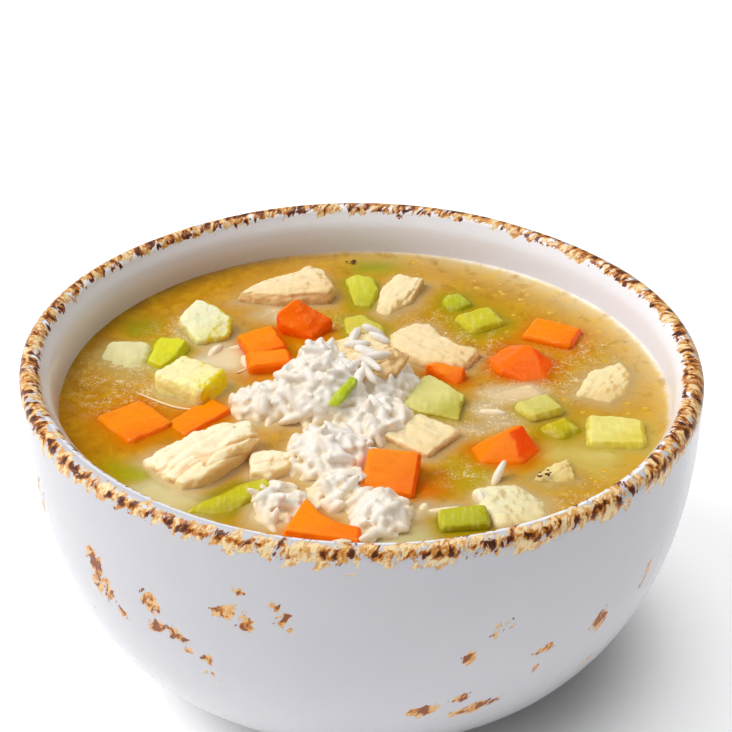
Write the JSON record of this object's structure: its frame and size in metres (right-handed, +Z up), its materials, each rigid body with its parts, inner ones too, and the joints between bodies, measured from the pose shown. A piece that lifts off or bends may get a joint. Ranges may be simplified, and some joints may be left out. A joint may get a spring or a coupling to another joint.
{
  "type": "bowl of chicken consomme",
  "caption": "Speckled stoneware bowl of hazy golden broth with a heap of rice and diced carrot, celery, potato and torn chicken.",
  "frame": {"origin": "on the table under the bowl, at the centre of its foot ring", "axes": "+Z up through the mouth, -Y towards the viewer of the shown side, +X to that viewer's right"},
  "size_m": [0.155, 0.155, 0.0794],
  "materials": {
    "stoneware": "glossy pale grey glaze with brushed tan and brown patches and a mottled rim",
    "broth": "hazy golden liquid, smooth and wet",
    "rice": "moist cooked white grains",
    "carrot": "wet cut faces",
    "celery": "wet yellow-green flesh with fine ribs",
    "potato": "moist pale cream flesh",
    "chicken": "moist torn fibrous meat"
  },
  "bodies": {
    "root": {"bowl": "stoneware", "broth": "broth", "carrot_1": "carrot", "carrot_2": "carrot", "carrot_3": "carrot", "carrot_4": "carrot", "carrot_5": "carrot", "carrot_6": "carrot", "carrot_7": "carrot", "carrot_8": "carrot", "carrot_9": "carrot", "carrot_10": "carrot", "carrot_11": "carrot", "celery_1": "celery", "celery_2": "celery", "celery_3": "celery", "celery_4": "celery", "celery_5": "celery", "celery_6": "celery", "celery_7": "celery", "celery_8": "celery", "celery_9": "celery", "celery_10": "celery", "celery_11": "celery", "celery_12": "celery", "chicken_1": "chicken", "chicken_2": "chicken", "chicken_3": "chicken", "chicken_4": "chicken", "chicken_5": "chicken", "chicken_6": "chicken", "chicken_7": "chicken", "chicken_8": "chicken", "potato_1": "potato", "potato_2": "potato", "potato_3": "potato", "potato_4": "potato", "potato_5": "potato", "rice_heap": "rice"}
  },
  "joints": []
}
